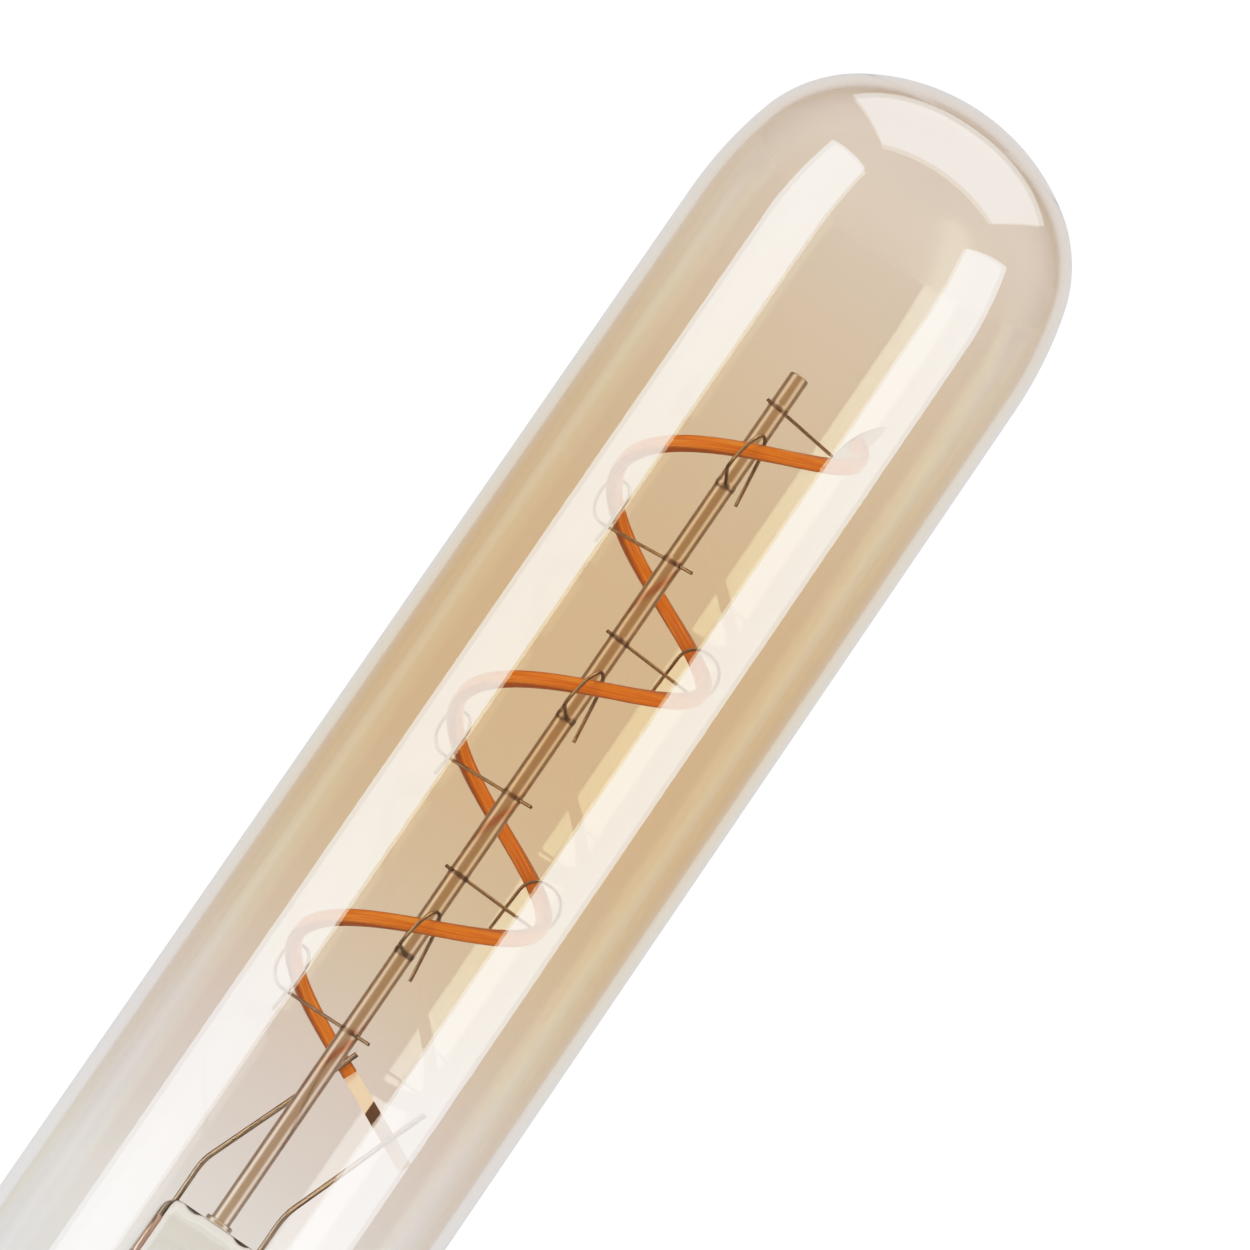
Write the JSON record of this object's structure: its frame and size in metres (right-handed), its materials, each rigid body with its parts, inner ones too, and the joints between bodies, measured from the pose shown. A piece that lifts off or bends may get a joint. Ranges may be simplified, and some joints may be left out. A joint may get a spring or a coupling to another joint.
{
  "type": "tubular light bulb",
  "caption": "Amber tubular filament lamp: domed glass tube, spiral coated filament on a glass rod with wire supports, pressed stem and a screw cap with its driver inside.",
  "frame": {"origin": "middle of the centre contact's face, the lowest point of the cap", "axes": "+Z along the lamp from the cap to the dome, -Y towards the viewer of the picture, +X to its right"},
  "size_m": [0.032, 0.032, 0.1588],
  "materials": {
    "amber_glass": "clear with an amber film inside",
    "clear_glass": "clear",
    "strip_coating": "satin silicone",
    "tab_metal": "bright",
    "support_metal": "drawn wire",
    "lead_metal": "drawn wire",
    "seal_copper": "borated copper",
    "lead_copper": "bare copper",
    "cap_metal": "rolled, bright",
    "insulator": "black, glassy",
    "contact_metal": "pressed, tinned",
    "cement": "chalky",
    "board": "lacquered",
    "chip_black": "moulded",
    "resistor_ceramic": "ceramic",
    "can_sleeve": "shrunk sleeve"
  },
  "bodies": {
    "root": {"glass_envelope": "amber_glass", "glass_stem": "clear_glass", "exhaust_tube": "clear_glass", "centre_rod": "clear_glass", "filament_strip": "strip_coating", "lower_end_tab": "tab_metal", "upper_end_tab": "tab_metal", "screw_shell": "cap_metal", "base_insulator": "insulator", "centre_contact": "contact_metal", "base_cement": "cement", "driver_board": "board", "bridge_rectifier": "chip_black", "driver_chip": "chip_black", "fuse_resistor": "resistor_ceramic", "sense_resistors": "resistor_ceramic", "smoothing_capacitor": "can_sleeve", "contact_wire": "lead_copper", "shell_wire": "lead_copper", "support_wire_1": "support_metal", "support_wire_2": "support_metal", "support_wire_3": "support_metal", "support_wire_4": "support_metal", "support_wire_5": "support_metal", "support_wire_6": "support_metal", "support_wire_7": "support_metal", "support_wire_8": "support_metal", "support_wire_9": "support_metal", "inner_lead_left": "lead_metal", "seal_wire_left": "seal_copper", "outer_lead_left": "lead_copper", "inner_lead_right": "lead_metal", "seal_wire_right": "seal_copper", "outer_lead_right": "lead_copper"}
  },
  "joints": []
}
